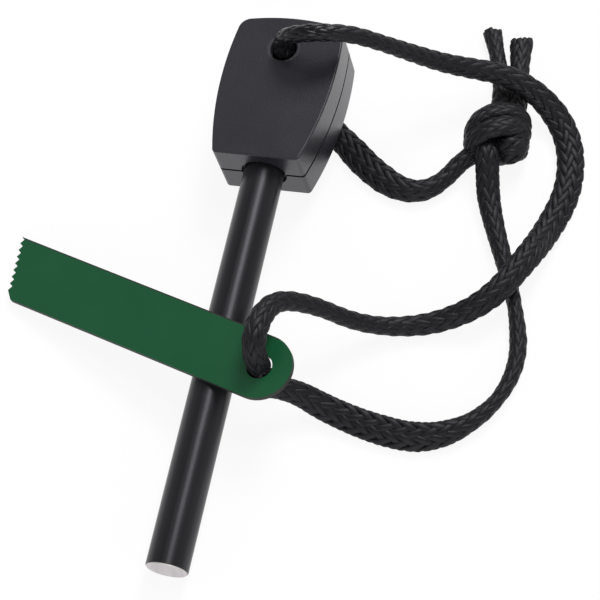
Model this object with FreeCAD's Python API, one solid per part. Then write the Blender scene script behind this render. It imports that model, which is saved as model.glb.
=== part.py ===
import FreeCAD, Part
import math
import os

V = FreeCAD.Vector
Z_AXIS = V(0, 0, 1)
Y_AXIS = V(0, 1, 0)
X_AXIS = V(1, 0, 0)

# A fire starter: a ferrocerium rod held in a handle of two moulded half shells, and a toothed
# steel striker tied to the handle by one looped lanyard cord. Millimetres throughout.
# The handle's own axes: X across, Y along the rod from its tip to the handle's top, Z out of
# the front face. Y is zero at the face that the rod comes out of, and Z at the parting plane.

# Rod
ROD_D = 8.0
ROD_EXPOSED = 82.0
ROD_CHAMFER = 0.3

# Handle outline: a straight foot, sides that are long arcs, an arched top. Each side has its own
# reach from the rod's axis, and the left side is widest nearer the foot.
HANDLE_LENGTH = 31.5
RIGHT_REACH = 11.7
LEFT_REACH = 11.25
HANDLE_THICKNESS = 14.0
RIGHT_WIDEST_AT = 22.0
LEFT_WIDEST_AT = 17.0
SIDE_RADIUS = 70.0
ARCH_RADIUS = 45.0
TOP_CORNER_R = 2.6
FOOT_CORNER_R = 0.9
EDGE_R = 0.35

# Handle walls and the joint between its shells
WALL = 2.0
FACE_WALL = 2.0
REVEAL_DEPTH = 0.6
REVEAL_GAP = 0.3
TONGUE_INSET = 1.1
TONGUE_THICKNESS = 0.7
TONGUE_HEIGHT = 1.2
TONGUE_CLEARANCE = 0.1

# Inside the shells
ROD_BORE_CLEARANCE = 0.02
ROD_RECESS_D = 9.1
ROD_RECESS_DEPTH = 0.8
RIB_THICKNESS = 1.6
RIB_PITCH = 5.0
FIRST_RIB_AT = 3.6
STOP_THICKNESS = 1.6
STOP_TO_BOSS = 0.5
BOSS_D = 8.6
PIN_D = 1.8
PIN_HEIGHT = 2.6
PIN_CHAMFER = 0.25
PIN_CLEARANCE = 0.05
SOCKET_D = 3.6
SOCKET_DEPTH = 3.2
UPPER_PIN_X = 6.8
LOWER_PIN_X = 6.7
LOWER_PIN_AT = 11.1

# Lanyard hole and cord
HOLE_D = 5.2
HOLE_FROM_TOP = 7.1
FRONT_RIM_R = 0.4
REAR_RIM_R = 1.1
CORD_D = 3.6
CORD_CLEARANCE = 0.7
CORD_SIDES = 8

# Striker: a flat steel bar, round at the hole and toothed at the other end
STRIKER_LENGTH = 65.5
STRIKER_WIDTH = 12.7
STRIKER_THICKNESS = 1.2
STRIKER_HOLE_D = 5.0
STRIKER_CORNER = 1.6
TOOTH_COUNT = 8
TOOTH_DEPTH = 0.75
TOOTH_LEAN_SHARE = 0.25
END_SLANT_DEG = 18.0
STRIKER_GAP = 0.15

# How the object lies: rolled a little, because the cord under the handle lifts its right side
REST_ROLL_DEG = 10.0

# Where the striker's hole lies from the rod's axis and from the handle's foot, and how far the
# bar is turned from square to the rod
STRIKER_HOLE_RIGHT = 10.4
STRIKER_HOLE_DOWN = 42.9
STRIKER_TURN_DEG = 16.25

# The cord's route over the surface, from the handle's hole to the striker's hole, from there
# to the knot, and from the knot back under the handle
FRONT_ROUTE = [
    (14.2, 48.2, 22.6),
    (17.3, 47.3, 26.2),
    (21.6, 48.7, 26.8),
    (27.0, 50.4, 24.8),
    (32.6, 52.0, 21.2),
    (38.4, 54.3, 16.2),
    (44.6, 56.4, 11.6),
    (50.6, 58.2, 8.8),
    (57.3, 59.1, 7.4),
    (64.3, 57.3, 5.4),
    (70.1, 53.4, 2.2),
    (73.2, 46.4, 1.9),
    (73.7, 37.2, 1.9),
    (71.0, 27.9, 2.0),
    (68.2, 19.3, 6.2),
    (62.6, 8.4, 6.2),
    (54.3, 3.9, 2.0),
    (45.9, 1.0, 1.9),
    (38.2, -1.4, 5.6),
    (30.7, -2.5, 11.8),
    (24.4, -5.1, 16.8),
    (22.2, -10.0, 19.6),
    (21.8, -15.6, 20.3),
]
RETURN_ROUTE = [
    (29.6, -17.7, 5.9),
    (36.5, -18.7, 2.0),
    (45.6, -20.7, 1.9),
    (54.6, -21.1, 1.9),
    (62.1, -17.2, 1.9),
    (67.8, -10.1, 1.9),
    (70.1, -0.9, 1.9),
    (68.1, 8.6, 1.9),
    (64.7, 17.5, 1.9),
    (61.0, 26.0, 1.9),
    (58.5, 33.0, 2.1),
    (57.6, 39.4, 3.4),
    (57.2, 44.4, 4.0),
]
BACK_ROUTE = [
    (56.6, 44.0, 4.2),
    (52.1, 40.5, 3.2),
    (49.3, 35.6, 1.9),
    (45.4, 31.7, 1.9),
    (40.2, 31.5, 1.9),
    (34.0, 34.8, 1.9),
    (28.4, 39.6, 1.9),
    (22.6, 44.3, 1.9),
    (18.2, 48.2, 1.9),
]
LEFT_TAIL_ROUTE = [
    (57.2, 48.0, 4.4),
    (56.6, 55.4, 2.2),
    (55.1, 63.8, 1.9),
    (53.0, 72.0, 1.9),
]
RIGHT_TAIL_ROUTE = [
    (60.8, 48.0, 4.4),
    (60.7, 55.6, 2.2),
    (59.6, 64.2, 1.9),
    (59.0, 71.6, 1.9),
]
# Straight lengths of cord out of the handle's hole, front and rear, and each side of the striker
FRONT_EXIT = 8.2
REAR_EXIT = 6.9
STRIKER_ENTRY = 3.6
STRIKER_EXIT = 4.2
# Share of a run that its rounded corner takes
CORNER_SHARE = 0.45

# Knot: its outer size across, along the strands and in height, and its centre
KNOT_WIDTH = 12.6
KNOT_LENGTH = 12.4
KNOT_HEIGHT = 9.0
KNOT_CENTRE = (58.0, 46.0, 4.6)
KNOT_SIDES = 12
KNOT_BANDS = 6

# Overrun of cuts past the faces that they open, and the distance within which places agree
OVERRUN = 1.0
TOUCH = 0.04

# The lanyard hole's place from the foot, the rod's seat, which ends at the stop before the
# lanyard boss, and the ribs that fit along the seat
HOLE_AT = HANDLE_LENGTH - HOLE_FROM_TOP
ROD_SEATED = HOLE_AT - BOSS_D / 2 - STOP_TO_BOSS - STOP_THICKNESS
RIB_COUNT = 1 + int((ROD_SEATED - FIRST_RIB_AT - RIB_THICKNESS) / RIB_PITCH)


def side_points(reach, widest_at, inset):
    """Where a side's arc meets the foot, is widest, and meets the arched top, drawn in."""
    side_r = SIDE_RADIUS - inset
    arch_r = ARCH_RADIUS - inset
    side_x = reach - SIDE_RADIUS
    arch_y = HANDLE_LENGTH - ARCH_RADIUS
    foot_x = side_x + math.sqrt(side_r ** 2 - (widest_at - inset) ** 2)
    # the top corner is where the side's circle meets the arch's circle
    gap_x = -side_x
    gap_y = arch_y - widest_at
    gap = math.hypot(gap_x, gap_y)
    along = (side_r ** 2 - arch_r ** 2 + gap ** 2) / (2 * gap)
    rise = math.sqrt(side_r ** 2 - along ** 2)
    top_x = side_x + (along * gap_x - rise * gap_y) / gap
    top_y = widest_at + (along * gap_y + rise * gap_x) / gap
    return [V(foot_x, inset, 0), V(reach - inset, widest_at, 0), V(top_x, top_y, 0)]


def outline(inset):
    """The handle's outline drawn in by an inset, as the four edges of a closed wire."""
    right = side_points(RIGHT_REACH, RIGHT_WIDEST_AT, inset)
    left = [V(-p.x, p.y, 0) for p in side_points(LEFT_REACH, LEFT_WIDEST_AT, inset)]
    foot = Part.LineSegment(left[0], right[0]).toShape()
    right_side = Part.Arc(*right).toShape()
    top = Part.Arc(right[-1], V(0, HANDLE_LENGTH - inset, 0), left[-1]).toShape()
    left_side = Part.Arc(left[-1], left[1], left[0]).toShape()
    return Part.Wire([foot, right_side, top, left_side])


def upright_edges(block, low_y, high_y):
    """The block's edges that stand along Z, at a Y between two limits."""
    found = []
    for edge in block.Edges:
        a = edge.Vertexes[0].Point
        b = edge.Vertexes[-1].Point
        stands = math.hypot(a.x - b.x, a.y - b.y) < TOUCH
        if stands and low_y < a.y < high_y:
            found.append(edge)
    return found


def slab(inset, height):
    """A block of the outline, from the parting plane up, with its four corners rounded."""
    block = Part.Face(outline(inset)).extrude(Z_AXIS * height)
    foot = upright_edges(block, -WALL, HANDLE_LENGTH / 2)
    block = block.makeFillet(max(FOOT_CORNER_R - inset, EDGE_R / 2), foot)
    top = upright_edges(block, HANDLE_LENGTH / 2, HANDLE_LENGTH)
    return block.makeFillet(max(TOP_CORNER_R - inset, EDGE_R / 2), top)


def ring(outer_inset, thickness, height):
    """A closed rim that follows the outline, between two insets."""
    return slab(outer_inset, height).cut(slab(outer_inset + thickness, height + OVERRUN))


def post(x, y, diameter, height):
    """A round post that stands on the parting plane."""
    return Part.makeCylinder(diameter / 2, height, V(x, y, 0))


def rod_room(diameter, start, end):
    """A cylinder about the rod's axis, from one Y to another."""
    return Part.makeCylinder(diameter / 2, end - start, V(0, start, 0), Y_AXIS)


def cross_rib(at, thickness):
    """A rib across the cavity, from the parting plane to the face wall."""
    width = LEFT_REACH + RIGHT_REACH
    height = HANDLE_THICKNESS / 2 - EDGE_R
    rib = Part.makeBox(width, thickness, height, V(-LEFT_REACH, at, 0))
    return rib.common(slab(WALL / 2, height))


def pin_places():
    """Centres of the four locating pins."""
    places = []
    for side in (-1, 1):
        places.append((side * UPPER_PIN_X, HOLE_AT))
        places.append((side * LOWER_PIN_X, LOWER_PIN_AT))
    return places


def shell_body(rim_r):
    """What both half shells share: walls, rod ribs, lanyard boss, rod entry and reveal."""
    half = HANDLE_THICKNESS / 2
    outer = slab(0, half)
    face_edges = []
    for edge in outer.Edges:
        if abs(edge.BoundBox.ZMin - half) < TOUCH:
            face_edges.append(edge)
    outer = outer.makeFillet(EDGE_R, face_edges)
    shell = outer.cut(slab(WALL, half - FACE_WALL))
    for index in range(RIB_COUNT):
        shell = shell.fuse(cross_rib(FIRST_RIB_AT + index * RIB_PITCH, RIB_THICKNESS))
    shell = shell.fuse(cross_rib(ROD_SEATED, STOP_THICKNESS))
    shell = shell.fuse(post(0, HOLE_AT, BOSS_D, half - EDGE_R))
    # the rod's seat, and the shallow recess round its entry
    seat_d = ROD_D + 2 * ROD_BORE_CLEARANCE
    shell = shell.cut(rod_room(seat_d, -OVERRUN, ROD_SEATED))
    shell = shell.cut(rod_room(ROD_RECESS_D, -OVERRUN, ROD_RECESS_DEPTH))
    shell = shell.cut(post(0, HOLE_AT, HOLE_D, half + OVERRUN))
    rims = []
    for edge in shell.Edges:
        box = edge.BoundBox
        on_face = abs(box.ZMin - half) < TOUCH
        as_wide = abs(box.XLength - HOLE_D) < TOUCH
        if on_face and as_wide and abs(box.Center.y - HOLE_AT) < TOUCH:
            rims.append(edge)
    shell = shell.makeFillet(rim_r, rims)
    # the outer edge of the rim stands back, so that the joint shows as a fine dark line
    return shell.cut(ring(-OVERRUN, OVERRUN + REVEAL_DEPTH, REVEAL_GAP))


def front_shell():
    """The front half: sockets for the pins and a recess that takes the tongue."""
    shell = shell_body(FRONT_RIM_R)
    half = HANDLE_THICKNESS / 2
    for x, y in pin_places():
        shell = shell.fuse(post(x, y, SOCKET_D, half - EDGE_R))
    inset = TONGUE_INSET - TONGUE_CLEARANCE
    width = WALL - inset + TONGUE_CLEARANCE
    shell = shell.cut(ring(inset, width, TONGUE_HEIGHT + TONGUE_CLEARANCE))
    for x, y in pin_places():
        shell = shell.cut(post(x, y, PIN_D + 2 * PIN_CLEARANCE, SOCKET_DEPTH))
    return shell.removeSplitter()


def rear_shell():
    """The rear half, made face up and turned over: it carries the tongue and the pins."""
    shell = shell_body(REAR_RIM_R)
    half = HANDLE_THICKNESS / 2
    tongue = ring(TONGUE_INSET, TONGUE_THICKNESS, TONGUE_HEIGHT)
    tongue = tongue.mirror(V(0, 0, 0), Z_AXIS)
    tongue = tongue.cut(rod_room(ROD_RECESS_D, -OVERRUN, HANDLE_LENGTH / 2))
    shell = shell.fuse(tongue)
    for x, y in pin_places():
        foot = post(x, y, SOCKET_D, half - EDGE_R)
        pin = post(x, y, PIN_D, PIN_HEIGHT)
        tip = [edge for edge in pin.Edges if edge.BoundBox.ZMin > PIN_HEIGHT / 2]
        pin = pin.makeChamfer(PIN_CHAMFER, tip)
        shell = shell.fuse(foot).fuse(pin.mirror(V(0, 0, 0), Z_AXIS))
    shell = shell.removeSplitter()
    return shell.mirror(V(0, 0, 0), Z_AXIS)


def ferro_rod():
    """The ferrocerium rod, chamfered at both ends."""
    rod = rod_room(ROD_D, -ROD_EXPOSED, ROD_SEATED)
    ends = [edge for edge in rod.Edges if edge.BoundBox.YLength < ROD_CHAMFER]
    return rod.makeChamfer(ROD_CHAMFER, ends)


def striker_reach():
    """Distance from the striker's hole to the upper corner of its toothed end."""
    return STRIKER_LENGTH - STRIKER_WIDTH / 2


def striker_outline():
    """The bar's outline: a round end about its hole, straight sides, a slanted toothed end."""
    half = STRIKER_WIDTH / 2
    slant = math.tan(math.radians(END_SLANT_DEG))
    toothed_x = -striker_reach()
    pitch = (STRIKER_WIDTH - STRIKER_CORNER) / TOOTH_COUNT
    round_top = V(0, half, 0)
    round_end = V(half, 0, 0)
    round_foot = V(0, -half, 0)
    points = [round_top, V(toothed_x, half, 0)]
    for index in range(TOOTH_COUNT):
        root_down = (index + TOOTH_LEAN_SHARE) * pitch
        tip_down = (index + 1) * pitch
        points.append(V(toothed_x + root_down * slant + TOOTH_DEPTH, half - root_down, 0))
        points.append(V(toothed_x + tip_down * slant, half - tip_down, 0))
    points.append(V(points[-1].x + STRIKER_CORNER, -half, 0))
    points.append(round_foot)
    edges = [Part.LineSegment(a, b).toShape() for a, b in zip(points, points[1:])]
    edges.append(Part.Arc(round_foot, round_end, round_top).toShape())
    return Part.Wire(edges)


def striker():
    """The striker, flat, its hole's centre at the origin and its upper face up."""
    bar = Part.Face(striker_outline()).extrude(Z_AXIS * STRIKER_THICKNESS)
    hole_r = STRIKER_HOLE_D / 2
    bore = Part.makeCylinder(hole_r, STRIKER_THICKNESS + 2 * OVERRUN, V(0, 0, -OVERRUN))
    return bar.cut(bore)


def rest_pitch():
    """Tilt of the object as it lies: its rod tip is down, and the cord lifts its handle."""
    along = ROD_EXPOSED + HOLE_AT
    across = ROD_D / 2 - HANDLE_THICKNESS / 2 * math.cos(math.radians(REST_ROLL_DEG))
    room = CORD_D + CORD_CLEARANCE
    return math.asin(room / math.hypot(along, across)) - math.atan2(across, along)


def tip_rise(pitch):
    """Height of the rod's axis above the surface, where the axis passes the handle's foot."""
    return ROD_EXPOSED * math.sin(pitch) + ROD_D / 2 * math.cos(pitch)


def striker_tilt(pitch):
    """Tilt of the striker about the rod: it lies on the rod and its lower corner is down."""
    clear_r = ROD_D / 2 + STRIKER_GAP
    turn = math.radians(STRIKER_TURN_DEG)
    half = STRIKER_WIDTH / 2
    slant = math.tan(math.radians(END_SLANT_DEG))
    reach = striker_reach() - (STRIKER_WIDTH - STRIKER_CORNER) * slant
    corner_x = STRIKER_HOLE_RIGHT - reach * math.cos(turn) - half * math.sin(turn)
    corner_y = -STRIKER_HOLE_DOWN + reach * math.sin(turn) - half * math.cos(turn)
    drop = (tip_rise(pitch) + corner_y * math.sin(pitch)) / math.cos(pitch)
    arm = math.hypot(corner_x, clear_r)
    return math.asin((drop - STRIKER_GAP) / arm) + math.atan(clear_r / -corner_x)


def striker_place(pitch):
    """Placement of the striker in the handle's axes."""
    tilt = striker_tilt(pitch)
    clear_r = ROD_D / 2 + STRIKER_GAP
    lean = FreeCAD.Rotation(Y_AXIS, -math.degrees(tilt))
    turn = FreeCAD.Rotation(Z_AXIS, -STRIKER_TURN_DEG)
    centre = lean.multVec(V(STRIKER_HOLE_RIGHT, 0, clear_r)) - Y_AXIS * STRIKER_HOLE_DOWN
    return FreeCAD.Placement(centre, lean.multiply(turn))


def object_place(pitch):
    """Placement of the handle's axes as the object lies, before its footprint is centred."""
    lie_down = FreeCAD.Rotation(X_AXIS, math.degrees(pitch))
    roll = FreeCAD.Rotation(Y_AXIS, -REST_ROLL_DEG)
    return FreeCAD.Placement(V(0, 0, 0), lie_down.multiply(roll))


def rounded_path(points):
    """Straight runs joined by tangent arcs, as one wire, with the arcs' radii."""
    edges = []
    radii = []
    start = points[0]
    for before, corner, after in zip(points, points[1:], points[2:]):
        back = before - corner
        ahead = after - corner
        turn = math.pi - back.getAngle(ahead)
        trim = CORNER_SHARE * min(back.Length, ahead.Length)
        radius = trim / math.tan(turn / 2)
        back.normalize()
        ahead.normalize()
        first = corner + back * trim
        last = corner + ahead * trim
        inward = (back + ahead).normalize()
        middle = corner + inward * (radius / math.cos(turn / 2) - radius)
        edges.append(Part.LineSegment(start, first).toShape())
        edges.append(Part.Arc(first, middle, last).toShape())
        radii.append(radius)
        start = last
    edges.append(Part.LineSegment(start, points[-1]).toShape())
    return Part.Wire(edges), radii


def cord_section(centre, ahead):
    """The cord's outline where it starts: a polygon with a flat side down, square to it."""
    across = ahead.cross(Z_AXIS)
    if across.Length < TOUCH:
        across = X_AXIS
    across.normalize()
    up = across.cross(ahead).normalize()
    corners = []
    for index in range(CORD_SIDES + 1):
        angle = 2 * math.pi * (index + 0.5) / CORD_SIDES
        corners.append(centre + (across * math.cos(angle) + up * math.sin(angle)) * (CORD_D / 2))
    return Part.makePolygon(corners)


def cord(name, points):
    """A stretch of cord along a route, with its radii and its volume checked in print."""
    path, radii = rounded_path(points)
    section = cord_section(points[0], points[1] - points[0])
    tube = path.makePipeShell([section], True, False)
    swept = Part.Face(section).Area * path.Length
    print(name, "length", round(path.Length, 1), "volume share", round(tube.Volume / swept, 4))
    print("  radii", [round(radius, 1) for radius in radii])
    return tube


def knot_section(band):
    """One level outline of the knot: the ball of its width, length and height, cut across."""
    latitude = math.pi * (band / KNOT_BANDS - 0.5)
    radius = math.cos(latitude) / 2
    rise = V(0, 0, KNOT_HEIGHT / 2 * math.sin(latitude))
    corners = []
    for index in range(KNOT_SIDES + 1):
        angle = 2 * math.pi * index / KNOT_SIDES
        across = KNOT_WIDTH * radius * math.cos(angle)
        along = KNOT_LENGTH * radius * math.sin(angle)
        corners.append(V(*KNOT_CENTRE) + rise + V(across, along, 0))
    return Part.makePolygon(corners)


def knot():
    """The knot's outer shape: a faceted ball, flat at its foot and its top."""
    sections = [knot_section(band) for band in range(1, KNOT_BANDS)]
    return Part.makeLoft(sections, True, True)


def route(points):
    """A route's points as vectors."""
    return [V(*point) for point in points]


def build_cord(handle, bar):
    """The lanyard cord's stretches, tails and knot, from the places of the two holes."""
    middle = handle.multVec(V(0, HOLE_AT, 0))
    front = handle.multVec(V(0, HOLE_AT, FRONT_EXIT))
    rear = handle.multVec(V(0, HOLE_AT, -REAR_EXIT))
    centre = STRIKER_THICKNESS / 2
    eye = bar.multVec(V(0, 0, centre))
    above = bar.multVec(V(0, 0, centre + STRIKER_ENTRY))
    below = bar.multVec(V(0, 0, centre - STRIKER_EXIT))
    lump = knot()
    stretches = {
        "cord_handle_to_striker": [middle, front] + route(FRONT_ROUTE) + [above, eye],
        "cord_striker_to_knot": [eye, below] + route(RETURN_ROUTE),
        "cord_knot_to_handle": route(BACK_ROUTE) + [rear, middle],
        "cord_tail_left": route(LEFT_TAIL_ROUTE),
        "cord_tail_right": route(RIGHT_TAIL_ROUTE),
    }
    nodes = {}
    for name, points in stretches.items():
        nodes[name] = cord(name, points).cut(lump)
    nodes["cord_knot"] = lump
    return nodes


def build():
    """Every node in its place, with the object's footprint centred on the origin."""
    pitch = rest_pitch()
    lying = object_place(pitch)
    lie_down = FreeCAD.Placement(V(0, 0, 0), FreeCAD.Rotation(X_AXIS, math.degrees(pitch)))
    bar_place = lie_down.multiply(striker_place(pitch))
    places = {
        "handle_front_shell": (front_shell(), lying),
        "handle_rear_shell": (rear_shell(), lying),
        "ferro_rod": (ferro_rod(), lying),
        "striker_blade": (striker(), bar_place),
    }
    nodes = {}
    for name, (shape, place) in places.items():
        shape.Placement = place.multiply(shape.Placement)
        nodes[name] = shape
    box = Part.Compound(list(nodes.values())).optimalBoundingBox(False, False)
    shift = FreeCAD.Placement(V(-box.Center.x, -box.Center.y, -box.ZMin), FreeCAD.Rotation())
    for shape in nodes.values():
        shape.Placement = shift.multiply(shape.Placement)
    nodes.update(build_cord(shift.multiply(lying), shift.multiply(bar_place)))
    print("pitch", math.degrees(pitch), "striker tilt", math.degrees(striker_tilt(pitch)))
    print("shift", shift.Base, "striker hole", shift.multiply(bar_place))
    return nodes


os.makedirs("parts", exist_ok=True)
for name, shape in build().items():
    solids = len(shape.Solids)
    print(name, solids, "solids, valid", shape.isValid(), "volume", round(shape.Volume, 1))
    shape.exportStep(os.path.join("parts", name + ".step"))
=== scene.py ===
import math

import bpy
import numpy as np
from mathutils import Matrix, Vector


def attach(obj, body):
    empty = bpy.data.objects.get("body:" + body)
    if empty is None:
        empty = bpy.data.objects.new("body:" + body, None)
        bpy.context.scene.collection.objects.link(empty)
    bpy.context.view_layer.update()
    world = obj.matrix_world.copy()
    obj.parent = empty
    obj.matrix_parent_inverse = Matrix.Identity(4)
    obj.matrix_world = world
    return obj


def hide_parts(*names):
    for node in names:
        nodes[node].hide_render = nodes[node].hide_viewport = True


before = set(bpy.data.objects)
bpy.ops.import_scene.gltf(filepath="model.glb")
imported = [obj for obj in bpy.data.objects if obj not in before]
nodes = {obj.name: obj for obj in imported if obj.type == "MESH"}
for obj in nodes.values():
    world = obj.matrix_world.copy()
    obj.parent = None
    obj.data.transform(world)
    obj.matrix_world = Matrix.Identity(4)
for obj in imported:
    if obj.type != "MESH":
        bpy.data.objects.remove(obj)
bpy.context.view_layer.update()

# The looks of a ferro rod fire starter. Its handle, rod and striker are the part's own solids with
# materials made here. Its cord's plain solids are replaced by a braid and a wound knot.

MM = 0.001
TINY = 1e-12
bpy.context.scene.view_settings.view_transform = "Standard"


def put_in_scene(name, data):
    """A new object in the scene with this mesh, curve, camera or lamp."""
    thing = bpy.data.objects.new(name, data)
    bpy.context.scene.collection.objects.link(thing)
    return thing


# ---------------------------------------------------------------- camera

# Fitted to the photo. The columns are the camera's own X, Y and Z axes in the part's frame.
CAMERA_AXES = (
    (0.9781, -0.1837, 0.0978),
    (0.2082, 0.8676, -0.4515),
    (-0.0019, 0.4620, 0.8869),
)
CAMERA_AT = (0.065220, -0.175592, 0.352779)
CAMERA_LENS_MM = 122.63
CAMERA_SENSOR_MM = 36.0
TO_CAMERA = np.array([row[2] for row in CAMERA_AXES])

camera_data = bpy.data.cameras.new("camera")
camera_data.lens = CAMERA_LENS_MM
camera_data.sensor_width = CAMERA_SENSOR_MM
camera = put_in_scene("camera", camera_data)
camera.matrix_world = Matrix.Translation(CAMERA_AT) @ Matrix(CAMERA_AXES).to_4x4()
bpy.context.scene.camera = camera

# ---------------------------------------------------------------- cord routes, in metres

# The lanyard hole through the handle, and the cord's way through the striker's hole.
HOLE_MIDDLE = (0.014675, 0.049442, 0.011158)
HOLE_REAR = (0.015873, 0.049901, 0.004378)
STRIKER_ABOVE = (0.022662, -0.018426, 0.017268)
STRIKER_EYE = (0.02356, -0.01819, 0.01379)
STRIKER_BELOW = (0.0238, -0.0183, 0.0118)

# Out of the handle's face, round the big loop and down into the striker's hole.
FRONT_ROUTE = (
    HOLE_MIDDLE, (0.0131, 0.0489, 0.0190),
    (0.0136, 0.0485, 0.0228), (0.0170, 0.0475, 0.0261), (0.0216, 0.0485, 0.0266),
    (0.0270, 0.0504, 0.0248), (0.0326, 0.0520, 0.0212), (0.0384, 0.0543, 0.0162),
    (0.0446, 0.0564, 0.0116), (0.0506, 0.0582, 0.0088), (0.0573, 0.0591, 0.0074),
    (0.0643, 0.0573, 0.0054), (0.0701, 0.0534, 0.0022), (0.0732, 0.0464, 0.0019),
    (0.0737, 0.0372, 0.0019), (0.0710, 0.0279, 0.0020), (0.0682, 0.0193, 0.0062),
    (0.0626, 0.0084, 0.0062), (0.0543, 0.0039, 0.0020), (0.0459, 0.0010, 0.0019),
    (0.0382, -0.0014, 0.0056), (0.0307, -0.0025, 0.0118), (0.0244, -0.0051, 0.0168),
    (0.0222, -0.0100, 0.0196), (0.0218, -0.0156, 0.0203), STRIKER_ABOVE, STRIKER_EYE,
)
# Out of the striker's hole from below and round to the knot.
RETURN_ROUTE = (
    STRIKER_EYE, STRIKER_BELOW, (0.0224, -0.0196, 0.0089),
    (0.0296, -0.0177, 0.0059), (0.0365, -0.0187, 0.0020), (0.0456, -0.0207, 0.0019),
    (0.0546, -0.0211, 0.0019), (0.0621, -0.0172, 0.0019), (0.0678, -0.0101, 0.0019),
    (0.0701, -0.0009, 0.0019), (0.0681, 0.0086, 0.0019), (0.0647, 0.0175, 0.0019),
    (0.0610, 0.0260, 0.0019), (0.0584, 0.0328, 0.0022), (0.0573, 0.0374, 0.0042),
    (0.0565, 0.0406, 0.0060), (0.0559, 0.0434, 0.0056), (0.0562, 0.0460, 0.0044),
)
# From the knot under the handle and up into its lanyard hole.
BACK_ROUTE = (
    (0.0566, 0.0440, 0.0042),
    (0.0521, 0.0405, 0.0032), (0.0493, 0.0356, 0.0019), (0.0454, 0.0317, 0.0019),
    (0.0402, 0.0315, 0.0019), (0.0340, 0.0348, 0.0019), (0.0284, 0.0396, 0.0019),
    (0.0226, 0.0443, 0.0019), (0.0182, 0.0482, 0.0019), HOLE_REAR, HOLE_MIDDLE,
)
LEFT_TAIL_ROUTE = (
    (0.0576, 0.0480, 0.0044), (0.0574, 0.0554, 0.0025),
    (0.0561, 0.0628, 0.0019), (0.0526, 0.0726, 0.0019),
)
RIGHT_TAIL_ROUTE = (
    (0.0608, 0.0480, 0.0044), (0.0606, 0.0556, 0.0025),
    (0.0596, 0.0640, 0.0019), (0.0589, 0.0715, 0.0019),
)

# The knot's wraps, one after the other round its two strands. The last turn goes round an axis
# that lies lower: it sinks by KNOT_SINK between these two shares of the route.
KNOT_CENTRE = (0.0579, 0.0456, 0.0044)
KNOT_SINKS_FROM, KNOT_SINKS_TO = 0.70, 0.80
KNOT_SINK = 0.0020
# How much each direction counts for what is outward. The knot is long in Y.
KNOT_OUTWARD = (1.0, 0.35, 1.0)
KNOT_ROUTE = (
    (0.0579, 0.0454, 0.0042), (0.0555, 0.0438, 0.0026),
    (0.0527, 0.0440, 0.0038), (0.0523, 0.0461, 0.0057), (0.0539, 0.0487, 0.0072),
    (0.0569, 0.0502, 0.0077), (0.0599, 0.0511, 0.0070), (0.0622, 0.0510, 0.0056),
    (0.0630, 0.0504, 0.0036), (0.0612, 0.0499, 0.0017), (0.0580, 0.0485, 0.0014),
    (0.0549, 0.0465, 0.0015), (0.0526, 0.0431, 0.0034), (0.0529, 0.0430, 0.0061),
    (0.0553, 0.0449, 0.0082), (0.0584, 0.0462, 0.0086), (0.0614, 0.0475, 0.0073),
    (0.0633, 0.0481, 0.0048), (0.0626, 0.0478, 0.0022), (0.0601, 0.0467, 0.0014),
    (0.0571, 0.0451, 0.0014), (0.0544, 0.0434, 0.0016), (0.0527, 0.0422, 0.0028),
    (0.0539, 0.0429, 0.0036), (0.0563, 0.0435, 0.0026), (0.0583, 0.0430, 0.0036),
    (0.0601, 0.0420, 0.0058), (0.0618, 0.0427, 0.0064), (0.0632, 0.0447, 0.0048),
    (0.0632, 0.0464, 0.0022), (0.0613, 0.0462, 0.0015), (0.0594, 0.0450, 0.0016),
)

# The braid is a soft tube that flattens where it lies loose, with these sections along it:
# (share of the length, width across the view in mm, depth in mm).
FRONT_SECTIONS = (
    (0.0, 4.7, 4.6), (0.028, 4.6, 4.5), (0.042, 3.4, 3.3), (0.05, 3.1, 3.3), (0.085, 3.3, 3.3),
    (0.12, 3.3, 3.3), (0.18, 3.1, 3.4), (0.24, 3.6, 3.2), (0.35, 4.5, 2.9), (0.40, 5.2, 2.7),
    (0.44, 5.4, 2.6), (0.53, 5.4, 2.6), (0.58, 5.2, 2.7), (0.66, 4.7, 2.8), (0.73, 4.1, 3.0),
    (0.78, 3.4, 3.2), (0.84, 3.2, 3.3), (0.90, 3.7, 3.2), (0.945, 4.4, 3.0), (0.975, 4.3, 3.4),
    (1.0, 4.3, 3.9),
)
RETURN_SECTIONS = (
    (0.0, 4.2, 3.9), (0.016, 4.1, 3.9), (0.032, 4.6, 4.5), (0.065, 4.2, 3.6), (0.10, 4.4, 3.0),
    (0.16, 5.1, 2.7), (0.27, 5.7, 2.5), (0.33, 5.6, 2.5), (0.38, 4.6, 2.9), (0.42, 3.4, 3.2),
    (0.48, 2.6, 3.4), (0.55, 3.1, 3.4), (0.60, 3.3, 3.3), (0.66, 2.7, 3.4), (0.73, 3.2, 3.4),
    (0.80, 3.7, 3.2), (0.88, 4.6, 2.8), (1.0, 4.8, 2.8),
)
BACK_SECTIONS = (
    (0.0, 3.8, 3.0), (0.10, 3.6, 3.2), (0.20, 3.5, 3.3), (0.30, 4.4, 2.9), (0.42, 5.6, 2.5),
    (0.55, 5.8, 2.5), (0.66, 5.0, 2.7), (0.80, 3.7, 3.0), (0.86, 3.4, 3.3), (0.90, 4.5, 4.4),
    (1.0, 4.7, 4.6),
)
LEFT_TAIL_SECTIONS = (
    (0.0, 4.0, 2.9), (0.25, 4.0, 2.9), (0.5, 3.4, 2.9), (0.8, 3.1, 2.9), (1.0, 3.9, 2.7),
)
RIGHT_TAIL_SECTIONS = (
    (0.0, 4.1, 2.9), (0.25, 4.1, 2.9), (0.5, 3.8, 2.8), (0.8, 4.0, 2.8), (1.0, 4.8, 2.6),
)
KNOT_SECTIONS = (
    (0.0, 3.8, 2.6), (0.15, 4.4, 2.7), (0.62, 4.4, 2.7), (0.70, 3.8, 2.7), (0.80, 5.4, 2.7),
    (0.92, 5.2, 2.6), (1.0, 3.6, 2.4),
)

# ---------------------------------------------------------------- lines along the cord

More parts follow.
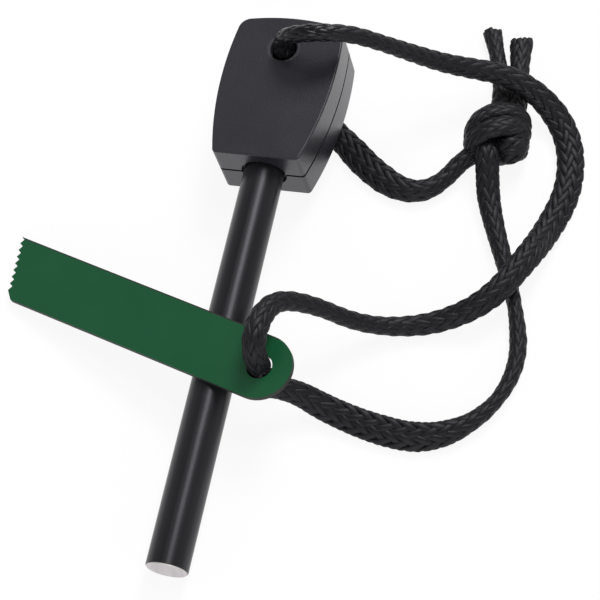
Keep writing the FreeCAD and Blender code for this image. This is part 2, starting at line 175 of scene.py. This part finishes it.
CURVE_STEPS = 24
SAME_PLACE = 1e-9
RING_STEP = 0.36 * MM
SMOOTHING_PASSES = 3
# The turn of the sections is averaged over this many rings to each side. Where the line runs almost
# along outward, so that the sine between them is under LEAST_SINE, it comes from the rings beside.
TURN_REACH = 9
LEAST_SINE = 0.5


def nurbs_points(route):
    """Closely spaced points of the smooth curve whose control points are the route's."""
    curve = bpy.data.curves.new("route", "CURVE")
    curve.dimensions = "3D"
    spline = curve.splines.new("NURBS")
    spline.points.add(len(route) - 1)
    for point, place in zip(spline.points, route):
        point.co = (*place, 1.0)
    spline.order_u = 3
    spline.use_endpoint_u = True
    spline.resolution_u = CURVE_STEPS
    carrier = put_in_scene("route", curve)
    mesh = bpy.data.meshes.new_from_object(carrier)
    points = np.array([v.co for v in mesh.vertices], float)
    bpy.data.meshes.remove(mesh)
    bpy.data.objects.remove(carrier)
    bpy.data.curves.remove(curve)
    return points


def lengths(vectors):
    return np.linalg.norm(vectors, axis=1)


def evenly(points):
    """The same line in steps of nearly RING_STEP, and each point's distance along it."""
    apart = lengths(np.diff(points, axis=0)) > SAME_PLACE
    points = points[np.concatenate([[True], apart])]
    along = np.concatenate([[0.0], np.cumsum(lengths(np.diff(points, axis=0)))])
    places = np.linspace(0.0, along[-1], int(round(along[-1] / RING_STEP)) + 1)
    line = np.stack([np.interp(places, along, points[:, k]) for k in range(3)], axis=1)
    for _ in range(SMOOTHING_PASSES):
        line[1:-1] = (line[:-2] + 2 * line[1:-1] + line[2:]) / 4
    return line, places


def unit(v):
    """The same vectors at length 1."""
    return v / np.maximum(np.linalg.norm(v, axis=-1, keepdims=True), TINY)


def section_frames(line, outward):
    """The line's direction, and the width and depth axes of its sections.

    The depth axis looks along outward as far as it can, and turns smoothly.
    """
    tangent = unit(np.gradient(line, axis=0))
    # Axes that are carried along the line without twist.
    across = np.zeros_like(line)
    start = np.cross(outward[0], tangent[0])
    across[0] = unit(start - tangent[0] * (start @ tangent[0]))
    for i in range(1, len(line)):
        across[i] = unit(across[i - 1] - tangent[i] * (across[i - 1] @ tangent[i]))
    out = np.cross(tangent, across)
    # The angle from those to the wanted ones, where half a turn more is as good.
    wanted = np.cross(outward, tangent)
    angle = np.arctan2((wanted * out).sum(1), (wanted * across).sum(1))
    angle = np.unwrap(angle, period=math.pi)
    known = lengths(wanted) > LEAST_SINE
    index = np.arange(len(line))
    angle = np.interp(index, index[known], angle[known])
    window = 2 * TURN_REACH + 1
    angle = np.convolve(np.pad(angle, TURN_REACH, mode="edge"), np.ones(window) / window, "valid")
    c, s = np.cos(angle)[:, None], np.sin(angle)[:, None]
    return tangent, c * across + s * out, c * out - s * across


# ---------------------------------------------------------------- braid

STRANDS_EACH_WAY = 8
STRANDS = 2 * STRANDS_EACH_WAY
BRAID_PITCH = 23.2 * MM
STRAND_WIDTH = 1.50 * MM
# How far the strands' middle lines lie inside the section's outline, and rise and dive from there.
STRAND_INSET = 0.34 * MM
STRAND_RISE = 0.19 * MM
CORE_INSET = 0.62 * MM
CORE_SIDES = 12
# Cross-section of one strand, a crowned ribbon: across in half widths, and out in mm.
STRAND_SECTION = np.array((
    (-1.0, -0.20), (-0.80, 0.12), (-0.40, 0.26), (0.40, 0.26), (0.80, 0.12), (1.0, -0.20),
    (0.0, -0.32),
))
# The strands' uneven ends show in the last END_REACH of a tail.
END_REACH = 3.2 * MM
END_POWER = 1.5
EVEN_END = np.zeros(STRANDS)
# The step between the strands' weave coordinates, so that each strand has its own fibres.
WEAVE_STEP = 0.37


def over_under(crossing, strand, way):
    """1 at the crest where the strand lies on top, -1 where it dives: over two and under two."""
    return way * np.cos(math.pi / 2 * (crossing - way * (0.5 - 2 * strand)))


def tube_faces(first, rings, sides):
    """The quads of a tube whose first vertex has this number, and its two end caps."""
    ring_starts = first + np.arange(rings - 1)[:, None] * sides
    corner = ring_starts + np.arange(sides)[None, :]
    beside = ring_starts + (np.arange(sides)[None, :] + 1) % sides
    quads = np.stack([corner, beside, beside + sides, corner + sides], axis=2)
    last_ring = first + (rings - 1) * sides
    caps = [list(range(first, first + sides))[::-1], list(range(last_ring, last_ring + sides))]
    return quads.reshape(-1, 4).tolist() + caps


def weave_places(across, places, strand):
    """For the fibres: how far across its strand and along the cord each vertex is, and whose."""
    coordinates = np.zeros((len(places), len(across), 3))
    coordinates[:, :, 0] = across
    coordinates[:, :, 1] = places[:, None]
    coordinates[:, :, 2] = strand * WEAVE_STEP
    return coordinates.reshape(-1, 3)


def braid(line, places, sections, outward, turn=0.0, slant=0.0, ragged=EVEN_END):
    """Vertices, faces and weave coordinates of a braided tube round its dark core.

    turn is the angle by which all strands are turned round the cord. At the far end, slant is the
    slope of the cut across the width, and ragged is how far each strand reaches past it.
    """
    tangent, wide, deep = section_frames(line, outward)
    share = places / places[-1]
    table = np.array(sections, float)
    half_width = np.interp(share, table[:, 0], table[:, 1]) / 2 * MM
    half_depth = np.interp(share, table[:, 0], table[:, 2]) / 2 * MM
    near_end = np.clip((places - places[-1] + END_REACH) / END_REACH, 0, 1) ** END_POWER
    crossing = STRANDS * places / BRAID_PITCH
    rings = len(line)
    verts, faces, weave = [], [], []

    across, rise = STRAND_SECTION[:, 0] * STRAND_WIDTH / 2, STRAND_SECTION[:, 1] * MM
    # The strands wind round ellipses of half axes a and b, and lean spaces them evenly there.
    a, b = half_width - STRAND_INSET, half_depth - STRAND_INSET
    lean = (a - b) / (2 * (a + b))
    for way in (1, -1):
        for strand in range(STRANDS_EACH_WAY):
            number = strand + (way > 0) * STRANDS_EACH_WAY
            start = 2 * math.pi * strand / STRANDS_EACH_WAY
            psi = way * 2 * math.pi * places / BRAID_PITCH + start + turn
            phi = psi + lean * np.sin(2 * psi)
            normal = unit((b * np.cos(phi))[:, None] * wide + (a * np.sin(phi))[:, None] * deep)
            centre = line + (a * np.cos(phi))[:, None] * wide + (b * np.sin(phi))[:, None] * deep
            wave = over_under(crossing, strand, way)
            centre = centre + normal * (wave * STRAND_RISE)[:, None]
            slip = slant * ((centre - line) * wide).sum(1) + ragged[number]
            centre = centre + tangent * (slip * near_end)[:, None]
            run = unit(np.gradient(centre, axis=0))
            side = unit(np.cross(normal, run))
            ring = (centre[:, None, :] + side[:, None, :] * across[None, :, None]
                    + normal[:, None, :] * rise[None, :, None])
            faces += tube_faces(len(verts) * rings * len(across), rings, len(across))
            verts.append(ring.reshape(-1, 3))
            weave.append(weave_places(across, places, number))

    theta = np.arange(CORE_SIDES) * 2 * math.pi / CORE_SIDES
    a, b = half_width - CORE_INSET, half_depth - CORE_INSET
    core = (line[:, None, :] + (a[:, None] * np.cos(theta))[:, :, None] * wide[:, None, :]
            + (b[:, None] * np.sin(theta))[:, :, None] * deep[:, None, :])
    faces += tube_faces(STRANDS * rings * len(across), rings, CORE_SIDES)
    verts.append(core.reshape(-1, 3))
    weave.append(weave_places(np.zeros(CORE_SIDES), places, 0))
    return np.concatenate(verts), faces, np.concatenate(weave)


# ---------------------------------------------------------------- material nodes

def fill(tree, made, inputs):
    """Gives inputs, by name or number, a link from another node's output or a fixed value."""
    for key, value in inputs.items():
        if isinstance(value, bpy.types.NodeSocket):
            tree.links.new(value, made.inputs[key])
        else:
            made.inputs[key].default_value = value


def node(tree, kind, inputs, **settings):
    """A new node of this kind, with its settings made before its inputs."""
    made = tree.nodes.new(kind)
    for key, value in settings.items():
        setattr(made, key, value)
    fill(tree, made, inputs)
    return made


def math_of(tree, operation, *values):
    return node(tree, "ShaderNodeMath", dict(enumerate(values)), operation=operation).outputs[0]


def vector_of(tree, operation, *values):
    made = node(tree, "ShaderNodeVectorMath", dict(enumerate(values)), operation=operation)
    return made.outputs["Vector"]


def number_of(tree, operation, *values):
    """The number that vector maths gives, such as a length."""
    made = node(tree, "ShaderNodeVectorMath", dict(enumerate(values)), operation=operation)
    return made.outputs["Value"]


def map_range(tree, factor, start, end, low, high, interpolation="LINEAR"):
    """From low at start to high at end, and level beyond them."""
    return node(tree, "ShaderNodeMapRange", {
        "Value": factor, "From Min": start, "From Max": end, "To Min": low, "To Max": high,
    }, interpolation_type=interpolation).outputs["Result"]


def spread(tree, factor, low, high):
    return map_range(tree, factor, 0.0, 1.0, low, high)


def noise(tree, coordinates, scale, detail, roughness=0.55, stretch=(1, 1, 1)):
    mapping = node(tree, "ShaderNodeMapping", {"Vector": coordinates, "Scale": stretch})
    return node(tree, "ShaderNodeTexNoise", {
        "Vector": mapping.outputs["Vector"], "Scale": scale, "Detail": detail,
        "Roughness": roughness,
    }).outputs["Fac"]


def ramp(tree, factor, stops):
    """The colour that the stops give, each of which is (place, colour)."""
    made = tree.nodes.new("ShaderNodeValToRGB")
    elements = made.color_ramp.elements
    while len(elements) < len(stops):
        elements.new(0.5)
    for element, (place, colour) in zip(elements, stops):
        element.position = place
        element.color = (*colour, 1.0)
    fill(tree, made, {"Fac": factor})
    return made.outputs["Color"]


def mix(tree, factor, first, second, kind="RGBA"):
    return node(tree, "ShaderNodeMix", {
        "Factor": factor, "A": first, "B": second}, data_type=kind).outputs["Result"]


def bump(tree, height, distance, strength, under=None):
    """The shading normal of this height, on top of that of another bump."""
    inputs = {"Height": height, "Distance": distance, "Strength": strength}
    if under is not None:
        inputs["Normal"] = under
    return node(tree, "ShaderNodeBump", inputs).outputs["Normal"]


def object_place(tree):
    return tree.nodes.new("ShaderNodeTexCoord").outputs["Object"]


def surface_way(tree):
    return tree.nodes.new("ShaderNodeTexCoord").outputs["Normal"]


def seen_by(tree, *rays):
    """1 for rays of these kinds and 0 for others."""
    path = tree.nodes.new("ShaderNodeLightPath")
    seen = path.outputs[rays[0]]
    for ray in rays[1:]:
        seen = math_of(tree, "MAXIMUM", seen, path.outputs[ray])
    return seen


def new_material(name):
    material = bpy.data.materials.new(name)
    material.use_nodes = True
    tree = material.node_tree
    return material, tree, tree.nodes["Principled BSDF"]


# ---------------------------------------------------------------- the four materials

# The tones and edges are stops of colour ramps. An edge goes by the cosine between the way that a
# surface looks and the way that the piece's face looks.
NONE, FULL = (0, 0, 0), (1, 1, 1)
# The black pieces' gloss is faintly violet.
BLACK_GLOSS = (0.95, 0.92, 1.0, 1.0)

# The way that the handle's front face looks, which is also the lanyard hole's. Within the first of
# the two distances below from the hole's axis, the plastic is darkened with painted shade and
# rougher; past the second it is as elsewhere.
FACE_WAY = (-0.173648, -0.066521, 0.982559)
BORE_SHADED_DULL, BORE_CLEAR = 0.0029, 0.0034
ROUNDED_EDGE = ((0.20, NONE), (0.50, FULL), (0.90, FULL), (0.985, NONE))
PLASTIC_TONES = ((0.3, (0.0148, 0.0144, 0.0188)), (0.7, (0.0186, 0.0181, 0.0232)))
# Painted shade: the rounded edges round the front face and the lanyard hole are mixed towards this
# dark colour.
PLASTIC_PAINTED_SHADE = (0.008, 0.008, 0.010, 1)
PLASTIC_EDGE_ROUGHER = 0.40


def plastic_material():
    """Fine-grained moulding, darkened with painted shade and rougher on the rounded edges round the
    front face and in the lanyard hole.
    """
    material, tree, shader = new_material("handle_plastic_moulded")
    place = object_place(tree)
    cloud = noise(tree, place, scale=90.0, detail=3.0)
    grain = noise(tree, place, scale=2200.0, detail=3.0, roughness=0.6)
    facing = number_of(tree, "DOT_PRODUCT", surface_way(tree), FACE_WAY)
    edge = ramp(tree, facing, ROUNDED_EDGE)
    from_middle = vector_of(tree, "SUBTRACT", place, HOLE_MIDDLE)
    from_axis = number_of(tree, "LENGTH", vector_of(tree, "CROSS_PRODUCT", from_middle, FACE_WAY))
    bore = map_range(tree, from_axis, BORE_SHADED_DULL, BORE_CLEAR, low=1.0, high=0.0)
    # Where painted shade darkens the plastic and where it is rougher: its rounded edges and the
    # lanyard hole.
    shaded_dull_rim = math_of(tree, "MAXIMUM", edge, bore)
    gloss = spread(tree, cloud, low=0.27, high=0.34)
    fill(tree, shader, {
        "Base Color": mix(tree, shaded_dull_rim, ramp(tree, cloud, PLASTIC_TONES), PLASTIC_PAINTED_SHADE),
        "Roughness": math_of(tree, "MULTIPLY_ADD", shaded_dull_rim, PLASTIC_EDGE_ROUGHER, gloss),
        "IOR": 1.60,
        "Specular Tint": BLACK_GLOSS,
        "Normal": bump(tree, grain, distance=0.00006, strength=0.55),
    })
    return material


# The rod's direction out of its tip, and how far along it the tip's face is. The face and a little
# of its chamfer are bare: the coating fades out between these two distances behind the face.
ROD_TIP_WAY = (0.0, -0.997716, -0.067547)
ROD_TIP_REACH = 0.056318
COAT_ENDS_FROM, COAT_ENDS_TO = 0.00022, 0.00012
COAT_TONES = ((0.3, (0.0070, 0.0070, 0.0085)), (0.7, (0.0110, 0.0108, 0.0125)))
BARE_TONES = ((0.3, (0.50, 0.47, 0.45)), (0.7, (0.62, 0.59, 0.57)))


def rod_material():
    """Black coating with fine lines along the rod; the sawn tip is bare grey metal."""
    material, tree, shader = new_material("rod_coating_black")
    place = object_place(tree)
    cloud = noise(tree, place, scale=60.0, detail=4.0)
    drawn = noise(tree, place, scale=420.0, detail=4.0, roughness=0.6, stretch=(1, 0.04, 1))
    grain = noise(tree, place, scale=3000.0, detail=2.0)
    sawn = noise(tree, place, scale=900.0, detail=3.0, roughness=0.6, stretch=(1, 1, 0.12))
    tip = map_range(
        tree, number_of(tree, "DOT_PRODUCT", place, ROD_TIP_WAY),
        ROD_TIP_REACH - COAT_ENDS_FROM, ROD_TIP_REACH - COAT_ENDS_TO, low=0.0, high=1.0)
    lines = bump(tree, drawn, distance=0.00003, strength=0.35)
    fill(tree, shader, {
        "Base Color": mix(
            tree, tip, ramp(tree, cloud, COAT_TONES), ramp(tree, sawn, BARE_TONES)),
        "Metallic": tip,
        "Roughness": spread(tree, drawn, low=0.27, high=0.35),
        "Specular IOR Level": 0.40,
        "Specular Tint": BLACK_GLOSS,
        "Normal": bump(tree, grain, distance=0.00002, strength=0.3, under=lines),
    })
    return material


# The way that the striker's upper face looks, its hole's centre, and the way from there to its
# long edge on the handle's side. Past EDGE_FROM that way, a dark line of painted shade runs along
# the cut edge.
STRIKER_WAY = (-0.249555, -0.065410, 0.966149)
STRIKER_HOLE = (0.023710, -0.018155, 0.013211)
STRIKER_ACROSS = (0.271001, 0.953132, 0.134528)
EDGE_FROM, EDGE_FULL = 0.00600, 0.00618
CUT_EDGE = ((0.45, FULL), (0.85, NONE))
PAINT_TONES = ((0.25, (0.0030, 0.0700, 0.0240)), (0.75, (0.0040, 0.0780, 0.0275)))
# Painted shade: the walls of the cut edges and the line along the long edge are mixed towards this
# dark green.
PAINT_PAINTED_SHADE = (0.0050, 0.0120, 0.0075, 1)
PAINT_EDGE_ROUGHER = 0.38


def paint_material():
    """Green paint, darkened with painted shade and rougher along the cut edges and teeth."""
    material, tree, shader = new_material("striker_paint_green")
    place = object_place(tree)
    cloud = noise(tree, place, scale=120.0, detail=3.0)
    peel = noise(tree, place, scale=1500.0, detail=2.0)
    facing = number_of(tree, "DOT_PRODUCT", surface_way(tree), STRIKER_WAY)
    wall = ramp(tree, math_of(tree, "ABSOLUTE", facing), CUT_EDGE)
    from_hole = vector_of(tree, "SUBTRACT", place, STRIKER_HOLE)
    across = number_of(tree, "DOT_PRODUCT", from_hole, STRIKER_ACROSS)
    line = map_range(tree, across, EDGE_FROM, EDGE_FULL, low=0.0, high=1.0)
    # Where painted shade darkens the paint and where it is rougher.
    edge = math_of(tree, "MAXIMUM", wall, line)
    gloss = spread(tree, cloud, low=0.26, high=0.34)
    fill(tree, shader, {
        "Base Color": mix(tree, edge, ramp(tree, cloud, PAINT_TONES), PAINT_PAINTED_SHADE),
        "Roughness": math_of(tree, "MULTIPLY_ADD", edge, PAINT_EDGE_ROUGHER, gloss),
        "Normal": bump(tree, peel, distance=0.00003, strength=0.4),
    })
    return material


# The cord is polished where it bends out of the handle's hole: fully within POLISH_FULL of this
# point, and no more past POLISH_END. POLISH is what it adds to the roughness.
ARCH_MIDDLE = (0.0160, 0.0480, 0.0250)
POLISH_FULL, POLISH_END = 0.0055, 0.0105
POLISH = -0.25
CORD_TONES = ((0.3, (0.0046, 0.0045, 0.0056)), (0.7, (0.0072, 0.0070, 0.0086)))


def cord_material():
    """Black nylon, with fine fibres along the strands."""
    material, tree, shader = new_material("cord_braid_black")
    weave = node(tree, "ShaderNodeAttribute", {}, attribute_name="weave").outputs["Vector"]
    fibre = noise(tree, weave, scale=9000.0, detail=3.0, roughness=0.6, stretch=(1, 0.06, 0.1))
    patch = noise(tree, weave, scale=260.0, detail=2.0, roughness=0.5, stretch=(1, 1, 9))
    from_arch = number_of(tree, "DISTANCE", object_place(tree), ARCH_MIDDLE)
    polish = map_range(tree, from_arch, POLISH_FULL, POLISH_END, low=POLISH, high=0.0)
    gloss = spread(tree, fibre, low=0.42, high=0.56)
    fill(tree, shader, {
        "Base Color": ramp(tree, patch, CORD_TONES),
        "Roughness": math_of(tree, "ADD", gloss, polish),
        "Specular IOR Level": 0.26,
        "Specular Tint": BLACK_GLOSS,
        "Normal": bump(tree, fibre, distance=0.00005, strength=0.5),
    })
    return material


PLASTIC = plastic_material()
ROD = rod_material()
PAINT = paint_material()
CORD = cord_material()


def dress(name, material):
    thing = nodes[name]
    thing.data.materials.clear()
    thing.data.materials.append(material)


dress("handle_front_shell", PLASTIC)
dress("handle_rear_shell", PLASTIC)
dress("ferro_rod", ROD)
dress("striker_blade", PAINT)

# ---------------------------------------------------------------- the cord and its knot

RIGHT_TAIL_SLANT = -0.22
random = np.random.default_rng(7)


def mesh_piece(name, verts, faces, weave):
    mesh = bpy.data.meshes.new(name)
    mesh.from_pydata(verts.tolist(), [], faces)
    mesh.polygons.foreach_set("use_smooth", [True] * len(mesh.polygons))
    attribute = mesh.attributes.new("weave", "FLOAT_VECTOR", "POINT")
    attribute.data.foreach_set("vector", weave.astype(np.float32).ravel())
    mesh.materials.append(CORD)
    mesh.update()
    return put_in_scene(name, mesh)


def cord_piece(name, node_name, line, places, sections, outward, **braiding):
    """A braided piece along the line, in place of this node."""
    piece = mesh_piece(name, *braid(line, places, sections, outward, **braiding))
    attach(piece, "handle")
    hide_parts(node_name)
    return piece


def cord_stretch(name, node_name, route, sections, **braiding):
    """A braided piece along the route, its width across the view; its middle line and length."""
    line, places = evenly(nurbs_points(route))
    outward = np.repeat(TO_CAMERA[None, :], len(line), axis=0)
    piece = cord_piece(name, node_name, line, places, sections, outward, **braiding)
    return piece, line, places[-1]


def uneven(shortest, longest):
    """How far each strand reaches past a tail's cut, drawn between these two, in mm."""
    return random.uniform(shortest, longest, STRANDS) * MM


def around_knot(line):
    """Away from the axis that the knot is wound round."""
    share = np.linspace(0.0, 1.0, len(line))
    axis = np.repeat(np.array(KNOT_CENTRE)[None, :], len(line), axis=0)
    axis[:, 2] -= np.interp(share, (KNOT_SINKS_FROM, KNOT_SINKS_TO), (0.0, KNOT_SINK))
    return unit((line - axis) * np.array(KNOT_OUTWARD))


front, front_line, front_length = cord_stretch(
    "lanyard_handle_to_striker", "cord_handle_to_striker", FRONT_ROUTE, FRONT_SECTIONS)
back, back_line, back_length = cord_stretch(
    "lanyard_knot_to_handle", "cord_knot_to_handle", BACK_ROUTE, BACK_SECTIONS, turn=0.3)
returning, return_line, return_length = cord_stretch(
    "lanyard_striker_to_knot", "cord_striker_to_knot", RETURN_ROUTE, RETURN_SECTIONS, turn=0.2)
left_tail, _, _ = cord_stretch(
    "lanyard_tail_left", "cord_tail_left", LEFT_TAIL_ROUTE, LEFT_TAIL_SECTIONS,
    turn=0.1, ragged=uneven(-0.35, 0.5))
right_tail, _, _ = cord_stretch(
    "lanyard_tail_right", "cord_tail_right", RIGHT_TAIL_ROUTE, RIGHT_TAIL_SECTIONS,
    turn=0.4, slant=RIGHT_TAIL_SLANT, ragged=uneven(-0.3, 0.4))
knot_line, knot_places = evenly(nurbs_points(KNOT_ROUTE))
knot = cord_piece(
    "lanyard_knot", "cord_knot", knot_line, knot_places, KNOT_SECTIONS, around_knot(knot_line))

# ---------------------------------------------------------------- floor, surroundings and light

# The floor lies a hair below the object, so that no face coincides with it.
FLOOR_HALF = 3.0
FLOOR_DROP = 0.00002
FLOOR_COLOUR = (0.93, 0.93, 0.93, 1)
WHITE = (1, 1, 1, 1)
# The share of plain white in the floor as it is seen. The rest of it holds the object's shadow.
FLOOR_WHITE_SHARE = 0.90


def floor_material():
    """Matte, and mostly plain white to the rays that see it as the background."""
    material = bpy.data.materials.new("floor_pale")
    material.use_nodes = True
    tree = material.node_tree
    tree.nodes.clear()
    matte = node(tree, "ShaderNodeBsdfDiffuse", {"Color": FLOOR_COLOUR})
    white = node(tree, "ShaderNodeEmission", {"Color": WHITE, "Strength": 1.0})
    seen = seen_by(tree, "Is Camera Ray", "Is Glossy Ray", "Is Transmission Ray")
    both = node(tree, "ShaderNodeMixShader", {
        "Fac": math_of(tree, "MULTIPLY", seen, FLOOR_WHITE_SHARE),
        1: matte.outputs["BSDF"], 2: white.outputs["Emission"]})
    node(tree, "ShaderNodeOutputMaterial", {"Surface": both.outputs["Shader"]})
    return material


floor_mesh = bpy.data.meshes.new("floor")
floor_corners = [
    (x * FLOOR_HALF, y * FLOOR_HALF, -FLOOR_DROP) for x, y in ((-1, -1), (1, -1), (1, 1), (-1, 1))]
floor_mesh.from_pydata(floor_corners, [], [(0, 1, 2, 3)])
floor_mesh.materials.append(floor_material())
floor = put_in_scene("floor", floor_mesh)

# A light tent: pale in front of the object and dim behind it. From WALL_TOP up to ROOF_FROM, both
# given as the height of a direction of length 1, the walls go over into the roof.
WALL_FRONT, WALL_BACK = 0.95, 0.45
WALL_TURN = 0.30
ROOF_LIGHT = 0.26
WALL_TOP, ROOF_FROM = 0.42, 0.70


def light_tent():
    world = bpy.data.worlds.new("studio")
    world.use_nodes = True
    tree = world.node_tree
    generated = tree.nodes.new("ShaderNodeTexCoord").outputs["Generated"]
    direction = node(tree, "ShaderNodeSeparateXYZ", {0: generated}).outputs
    walls = map_range(
        tree, direction["Y"], -WALL_TURN, WALL_TURN, WALL_FRONT, WALL_BACK, "SMOOTHSTEP")
    tent = map_range(
        tree, direction["Z"], WALL_TOP, ROOF_FROM, walls, ROOF_LIGHT, "SMOOTHSTEP")
    seen = seen_by(tree, "Is Camera Ray", "Is Transmission Ray")
    fill(tree, tree.nodes["Background"], {
        "Color": WHITE, "Strength": mix(tree, seen, tent, 1.0, kind="FLOAT")})
    return world


bpy.context.scene.world = light_tent()

# Soft round lamps: name, place and diameter in metres, and power in watts.
LAMPS = (
    ("key", (0.12, 0.66, 0.78), 0.40, 6.6),
    ("rod_glint", (0.115, 0.27, 0.96), 0.34, 1.75),
    ("front_fill", (0.25, -0.95, 0.55), 0.6, 2.8),
)
LAMPS_AIM = (0.03, 0.0, 0.0)

for lamp_name, lamp_place, diameter, power in LAMPS:
    lamp_data = bpy.data.lights.new(lamp_name, "AREA")
    lamp_data.shape = "DISK"
    lamp_data.size = diameter
    lamp_data.energy = power
    lamp = put_in_scene(lamp_name, lamp_data)
    lamp.location = lamp_place
    lamp.rotation_mode = "QUATERNION"
    lamp.rotation_quaternion = (Vector(LAMPS_AIM) - Vector(lamp_place)).to_track_quat("-Z", "Y")
